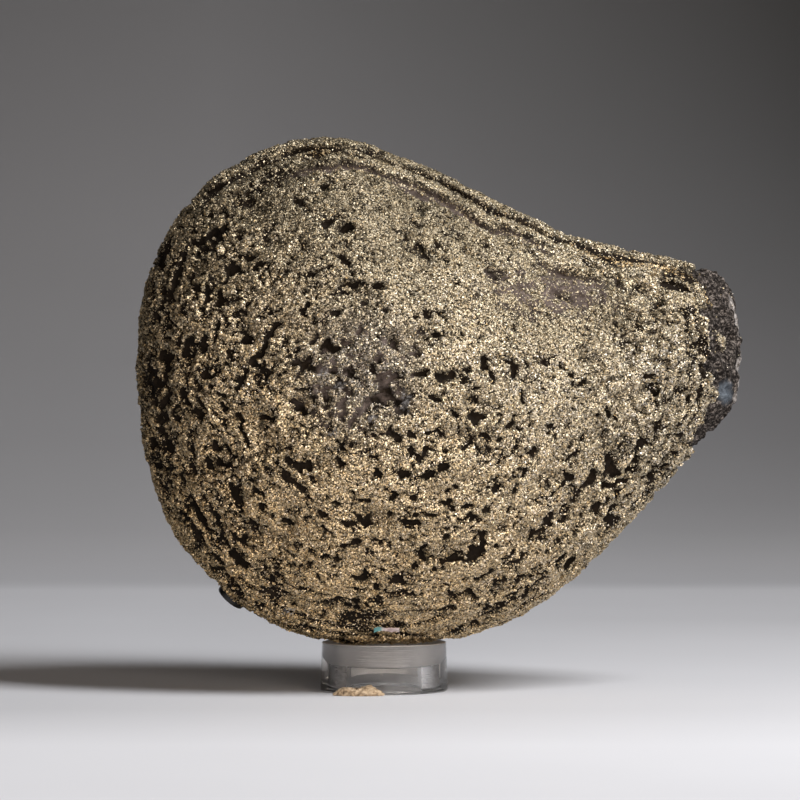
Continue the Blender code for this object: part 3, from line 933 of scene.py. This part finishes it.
class CONCRETION_OT_ring(Operator):
    """Turns the countersunk clear ring that the stone stands on"""
    bl_idname = "concretion.ring"
    bl_label = "Display ring"

    def execute(self, context):
        settings = context.scene.concretion_ring
        outer = (RING_HIGH.x - RING_LOW.x) / 2
        height = RING_HIGH.z
        profile = (
            (settings.bore, 0.0), (outer, 0.0), (outer - settings.lean, height),
            (settings.mouth, height), (settings.bore, settings.cone_foot),
            (settings.bore, settings.highlight_foot),
        )
        shape = bmesh.new()
        corners = [shape.verts.new((radius, 0.0, level)) for radius, level in profile]
        for start, end in zip(corners, corners[1:] + corners[:1]):
            shape.edges.new((start, end))
        bmesh.ops.spin(shape, geom=shape.verts[:] + shape.edges[:], cent=(0, 0, 0), axis=(0, 0, 1),
                       angle=math.tau, steps=settings.sides, use_merge=True)
        bmesh.ops.recalc_face_normals(shape, faces=shape.faces[:])
        ease_edges(shape, 25, settings.edge, 3)
        for face in shape.faces:
            middle = face.calc_center_median()
            away = middle.to_2d().length
            in_cone = settings.cone_foot < middle.z < height and away < settings.mouth
            in_bore = away < settings.bore + settings.edge
            if in_cone or face.normal.z > 0.3:
                face.material_index = 1
            # A white matt band on the bore's far wall: a painted highlight.
            elif in_bore and middle.z > settings.highlight_foot and middle.y > 2.0 * MM:
                face.material_index = 2
        bmesh.ops.translate(shape, verts=shape.verts[:], vec=(RING_MIDDLE.x, RING_MIDDLE.y, 0.0))
        mesh = to_mesh(shape, "clear_ring")
        mesh.shade_smooth()
        mesh.set_sharp_from_angle(angle=math.radians(12))
        turned = matt_acrylic("ring_turned", 0.45, (0.95, 0.93, 0.93))
        # White matt acrylic for the band of painted highlight in the bore.
        highlight_band = matt_acrylic("ring_haze", 0.0, (1.0, 0.99, 0.98))
        show("clear_ring", mesh, [clear_acrylic(), turned, highlight_band], ("display_ring",))
        return {"FINISHED"}


# Rubber foot

def rubber_material():
    material, tree, shader = new_material("foot_rubber")
    place = object_place(tree)
    dust = grey_ramp(tree, noise_node(tree, place, 500.0, 4.0), 0.45, 0.75)
    colour = mix_colour(tree, dust, (0.004, 0.004, 0.0045), (0.018, 0.017, 0.016))
    fill_shader(tree, shader, Base_Color=colour, Roughness=grey_ramp(tree, dust, 0.0, 1.0, 0.28, 0.5))
    add_bump(tree, shader, noise_node(tree, place, 2600.0, 2.0), 0.12, 0.05 * MM)
    return material


class CONCRETION_OT_foot(Operator):
    """Builds the domed rubber foot stuck on the rim"""
    bl_idname = "concretion.foot"
    bl_label = "Rubber foot"

    def execute(self, context):
        settings = context.scene.concretion_foot
        middle, axes = solid_axes("rubber_bumper")
        outward = axes[2]
        if outward.dot(middle - (STONE_LOW + STONE_HIGH) / 2) < 0.0:
            outward = -outward
        shape = bmesh.new()
        bmesh.ops.create_cone(shape, segments=64, radius1=settings.radius, radius2=settings.radius * 0.93,
                              depth=settings.height, cap_ends=True)
        top = [face for face in shape.faces if face.normal.z > 0.9]
        for drop in (0.80, 0.75, 0.62):
            bmesh.ops.inset_region(shape, faces=top, thickness=settings.radius * (1.0 - drop),
                                   use_even_offset=True)
        for vertex in shape.verts:
            away = vertex.co.to_2d().length / settings.radius
            if vertex.co.z > 0.0:
                vertex.co.z -= settings.height * 0.16 * away**3
        ease_edges(shape, 35, settings.edge, 4)
        place = Matrix.Translation(middle) @ outward.to_track_quat("Z", "Y").to_matrix().to_4x4()
        bmesh.ops.transform(shape, matrix=place, verts=shape.verts[:])
        mesh = to_mesh(shape, "rubber_foot")
        mesh.shade_smooth()
        show("rubber_foot", mesh, [rubber_material()], ("rubber_bumper",))
        return {"FINISHED"}


# Paper scrap

def paper_material():
    """Printed paper worn to bare stock: teal at one end, pale pink for the rest."""
    material, tree, shader = new_material("scrap_paper")
    along = attribute(tree, "along")
    colour = ramp(tree, along, (
        (0.0, (0.13, 0.36, 0.37)), (0.24, (0.20, 0.46, 0.46)), (0.34, (0.66, 0.62, 0.60)),
        (0.55, (0.72, 0.55, 0.55)), (1.0, (0.78, 0.66, 0.65)),
    ))
    place = object_place(tree)
    stain = grey_ramp(tree, noise_node(tree, place, 900.0, 4.0), 0.35, 0.7, 0.55, 1.0)
    fill_shader(tree, shader, Base_Color=times(tree, colour, stain), Roughness=0.6)
    add_bump(tree, shader, noise_node(tree, place, 3800.0, 3.0), 0.3, 0.04 * MM)
    return material


class CONCRETION_OT_scrap(Operator):
    """Builds the curled blank scrap of paper under the stone"""
    bl_idname = "concretion.scrap"
    bl_label = "Paper scrap"

    def execute(self, context):
        settings = context.scene.concretion_scrap
        middle, axes = solid_axes("label_scrap")
        long_way = axes[0] if axes[0].x > 0.0 else -axes[0]
        face = axes[2] if axes[2].z < 0.0 else -axes[2]
        across = face.cross(long_way)
        across = across if across.z > 0.0 else -across
        middle = Vector(middle) + across * (0.5 * MM)
        shape = bmesh.new()
        bmesh.ops.create_grid(shape, x_segments=30, y_segments=16, size=0.5)
        along = shape.verts.layers.float.new("along")
        for vertex in shape.verts:
            x, y = vertex.co.x, vertex.co.y
            vertex[along] = x + 0.5
            ragged = 0.76 + 0.50 * noise.noise(Vector((x * 6.0, 3.0 * y, 4.2)))
            sway = 0.40 * noise.noise(Vector((x * 2.4, 0.0, 7.7))) - 0.16 * smoothstep(-0.3, 0.1, x)
            lift = settings.curl * (4.0 * x * x - 0.25 + 0.8 * noise.noise(Vector((x * 4.0, y * 3.0, 9.1))))
            offset = long_way * (x * settings.length) + across * ((y * ragged + sway) * settings.width)
            vertex.co = middle + offset + face * (lift * 0.5 - 0.14 * MM)
        mesh = with_modifiers(to_mesh(shape, "scrap"), (
            ("SOLIDIFY", {"thickness": settings.thickness, "offset": 0.0}),
        ))
        mesh.shade_smooth()
        mesh.set_sharp_from_angle(angle=math.radians(45))
        show("paper_scrap", mesh, [paper_material()], ("label_scrap",))
        return {"FINISHED"}


# Putty crumb

def putty_material():
    material, tree, shader = new_material("dry_putty")
    place = object_place(tree)
    broad = noise_node(tree, place, 1300.0, 4.0)
    colour = ramp(tree, broad, ((0.32, (0.060, 0.038, 0.022)), (0.45, (0.29, 0.21, 0.13)),
                                (0.66, (0.52, 0.41, 0.29))))
    fill_shader(tree, shader, Base_Color=colour, Roughness=0.85)
    add_bump(tree, shader, noise_node(tree, place, 1700.0, 4.0, 0.7), 0.8, 0.25 * MM)
    return material


class CONCRETION_OT_putty(Operator):
    """Roughens the crumb of dried putty at the foot of the ring"""
    bl_idname = "concretion.putty"
    bl_label = "Putty crumb"

    def execute(self, context):
        settings = context.scene.concretion_putty
        shape = node_copy("putty_lump")
        bmesh.ops.subdivide_edges(shape, edges=shape.edges[:], cuts=3, use_grid_fill=True)
        for _ in range(4):
            bmesh.ops.smooth_vert(shape, verts=shape.verts[:], factor=0.5, use_axis_x=True,
                                  use_axis_y=True, use_axis_z=True)
        shape.normal_update()
        for vertex in shape.verts:
            height = noise.noise(vertex.co / (0.75 * MM)) + 0.7 * noise.noise(vertex.co / (0.34 * MM))
            vertex.co += vertex.normal * (settings.crumble * height)
            vertex.co.z = max(vertex.co.z, 0.0)
        mesh = to_mesh(shape, "putty_crumb")
        mesh.shade_smooth()
        show("putty_crumb", mesh, [putty_material()], ("putty_lump",))
        return {"FINISHED"}


# Studio

SWEEP_HALF_WIDTH = 2.2
SWEEP_FRONT = -2.2
SWEEP_BEND_Y = 0.48                 # the floor begins to rise here
SWEEP_RADIUS = 0.30
SWEEP_BEND_STEPS = 24
SWEEP_TOP = 2.2
CAMERA_PLACE = (-9.7 * MM, -840.0 * MM, 74.0 * MM)
CAMERA_LENS = 100.0
CAMERA_SENSOR = 24.0
CAMERA_SHIFT = -0.005
ROOM_BRIGHT_WAY = (0.40, -0.90, 0.15)       # the room is lightest in front and to the right
ROOM_TINT = (1.0, 0.72, 0.50)
LIGHTS_AIM = (0.0, 0.0, 0.07)
LIGHTS = (                          # name, place, width and height, colour
    ("key", (0.54, -0.42, 0.80), (0.28, 0.55), (1.0, 0.99, 0.98)),
    ("front", (0.42, -1.12, 0.40), (0.40, 0.40), (1.0, 0.88, 0.77)),
    ("fill", (0.38, -1.30, 0.17), (1.5, 0.14), (1.0, 0.87, 0.75)),
)
SWEEP_GRADED = (-0.25, 1.05)        # the sweep's grey, with its painted light falloff, changes between these sums of Y and Z
SWEEP_SIDES = (-0.10, 0.19)         # and between these X
SWEEP_TINT = (0.920, 0.938, 1.0)
SWEEP_SHADED_GREYS = (                     # share of the way, grey at the left, share of it at the right; painted light falloff up the wall and to the right, and at 0.152 a painted shadow on the left
    (0.022, 0.758, 0.89), (0.090, 0.803, 0.99), (0.152, 0.640, 1.20), (0.215, 0.690, 1.02),
    (0.294, 0.716, 0.93), (0.395, 0.791, 0.74), (0.524, 0.876, 0.80), (0.612, 0.583, 0.75),
    (0.652, 0.463, 0.66), (0.681, 0.405, 0.59), (0.735, 0.323, 0.52), (0.797, 0.261, 0.45),
    (0.850, 0.215, 0.36), (0.897, 0.185, 0.26), (0.939, 0.154, 0.15), (0.994, 0.118, 0.00),
)


def sweep_material():
    """Matt paper, pale on the floor and graded grey up the wall, darker towards the right. The grading is
    painted light falloff, with a band of painted shadow on the left of the floor just in front of the
    stone.
    """
    material, tree, shader = new_material("sweep_paper")
    place = object_place(tree)
    split = tree.nodes.new("ShaderNodeSeparateXYZ")
    tree.links.new(place, split.inputs["Vector"])
    along = math_node(tree, "ADD", split.outputs["Y"], split.outputs["Z"])
    way = map_range(tree, along, *SWEEP_GRADED)
    left = ramp(tree, way, [(at, [grey * part for part in SWEEP_TINT]) for at, grey, _ in SWEEP_SHADED_GREYS])
    right = ramp(tree, way, [(at, (share,) * 3) for at, _, share in SWEEP_SHADED_GREYS])
    aside = map_range(tree, split.outputs["X"], *SWEEP_SIDES)
    graded = mix_colour(tree, aside, (1.0, 1.0, 1.0), right)
    colour = times(tree, left, graded)
    mottle = grey_ramp(tree, noise_node(tree, place, 14.0, 2.0), 0.2, 0.8, 0.97, 1.0)
    fill_shader(tree, shader, Base_Color=times(tree, colour, mottle), Roughness=0.7)
    add_bump(tree, shader, noise_node(tree, place, 900.0, 3.0), 0.05, 0.1 * MM)
    return material


def sweep_mesh():
    """A strip of paper that lies on the floor, bends up and stands as a wall."""
    shape = bmesh.new()
    front = [shape.verts.new((x, SWEEP_FRONT, 0.0)) for x in (-SWEEP_HALF_WIDTH, SWEEP_HALF_WIDTH)]
    edge = [shape.edges.new(front)]
    moves = [(0.0, SWEEP_BEND_Y - SWEEP_FRONT, 0.0)]
    turn = math.pi / 2 / SWEEP_BEND_STEPS
    for step in range(SWEEP_BEND_STEPS):
        start, end = step * turn, (step + 1) * turn
        moves.append((0.0, SWEEP_RADIUS * (math.sin(end) - math.sin(start)),
                      SWEEP_RADIUS * (math.cos(start) - math.cos(end))))
    moves.append((0.0, 0.0, SWEEP_TOP))
    for move in moves:
        made = bmesh.ops.extrude_edge_only(shape, edges=edge)["geom"]
        corners = [item for item in made if isinstance(item, bmesh.types.BMVert)]
        bmesh.ops.translate(shape, vec=move, verts=corners)
        edge = [item for item in made if isinstance(item, bmesh.types.BMEdge)]
    bmesh.ops.recalc_face_normals(shape, faces=shape.faces[:])
    mesh = to_mesh(shape, "paper_sweep")
    mesh.shade_smooth()
    return mesh


def add_area_light(name, place, size, power, colour):
    data = bpy.data.lights.new(name, "AREA")
    data.shape = "RECTANGLE"
    data.size, data.size_y = size
    data.energy = power
    data.color = colour
    light = bpy.data.objects.new(name, data)
    light.location = place
    way = Vector(LIGHTS_AIM) - Vector(place)
    light.rotation_euler = way.to_track_quat("-Z", "Y").to_euler()
    light.visible_camera = False
    bpy.context.scene.collection.objects.link(light)


def room_light(strength):
    """A dim warm room, lightest in front and to the right."""
    world = bpy.data.worlds.new("room")
    world.use_nodes = True
    tree = world.node_tree
    way = tree.nodes.new("ShaderNodeTexCoord").outputs["Generated"]
    towards = add_node(tree, "ShaderNodeVectorMath", operation="DOT_PRODUCT")
    fill_inputs(tree, towards.inputs, (way, ROOM_BRIGHT_WAY))
    room = times(tree, grey_ramp(tree, towards.outputs["Value"], 0.0, 1.0, 0.08, 1.0), ROOM_TINT)
    tree.links.new(room, tree.nodes["Background"].inputs["Color"])
    tree.nodes["Background"].inputs["Strength"].default_value = strength
    return world


def add_camera():
    data = bpy.data.cameras.new("camera")
    data.lens = CAMERA_LENS
    data.sensor_width = CAMERA_SENSOR
    data.shift_y = CAMERA_SHIFT
    data.clip_end = 10.0
    camera = bpy.data.objects.new("camera", data)
    camera.location = CAMERA_PLACE
    camera.rotation_euler = (math.pi / 2, 0.0, 0.0)
    bpy.context.scene.collection.objects.link(camera)
    bpy.context.scene.camera = camera


class CONCRETION_OT_studio(Operator):
    """Sets the paper sweep, the soft lights, the room and the camera"""
    bl_idname = "concretion.studio"
    bl_label = "Studio"

    def execute(self, context):
        settings = context.scene.concretion_studio
        mesh = sweep_mesh()
        mesh.materials.append(sweep_material())
        sweep = bpy.data.objects.new("paper_sweep", mesh)
        context.scene.collection.objects.link(sweep)
        for name, place, size, colour in LIGHTS:
            add_area_light(name, place, size, getattr(settings, name + "_power"), colour)
        context.scene.world = room_light(settings.surround)
        context.scene.view_settings.view_transform = "Standard"
        add_camera()
        return {"FINISHED"}


# Panel and registration

class CONCRETION_PT_panel(Panel):
    """Lists the steps that dress the concretion"""
    bl_idname = "CONCRETION_PT_panel"
    bl_label = "Concretion"
    bl_space_type = "VIEW_3D"
    bl_region_type = "UI"
    bl_category = "Concretion"

    def draw(self, context):
        for step, name, group in STEPS:
            box = self.layout.box()
            box.operator(step.bl_idname)
            for key in group.__annotations__:
                box.prop(getattr(context.scene, name), key)


STEPS = (                           # operator, then the name of its settings and their class
    (CONCRETION_OT_studio, "concretion_studio", StudioSettings),
    (CONCRETION_OT_stone, "concretion_stone", StoneSettings),
    (CONCRETION_OT_grains, "concretion_grains", GrainSettings),
    (CONCRETION_OT_ring, "concretion_ring", RingSettings),
    (CONCRETION_OT_foot, "concretion_foot", FootSettings),
    (CONCRETION_OT_scrap, "concretion_scrap", ScrapSettings),
    (CONCRETION_OT_putty, "concretion_putty", PuttySettings),
)


def register():
    for step, name, group in STEPS:
        bpy.utils.register_class(group)
        setattr(bpy.types.Scene, name, PointerProperty(type=group))
        bpy.utils.register_class(step)
    bpy.utils.register_class(CONCRETION_PT_panel)


def unregister():
    bpy.utils.unregister_class(CONCRETION_PT_panel)
    for step, name, group in reversed(STEPS):
        bpy.utils.unregister_class(step)
        delattr(bpy.types.Scene, name)
        bpy.utils.unregister_class(group)


def main():
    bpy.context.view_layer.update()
    register()
    bpy.ops.concretion.studio()
    bpy.ops.concretion.stone()
    bpy.ops.concretion.grains()
    bpy.ops.concretion.ring()
    bpy.ops.concretion.foot()
    bpy.ops.concretion.scrap()
    bpy.ops.concretion.putty()


if __name__ == "__main__":
    main()
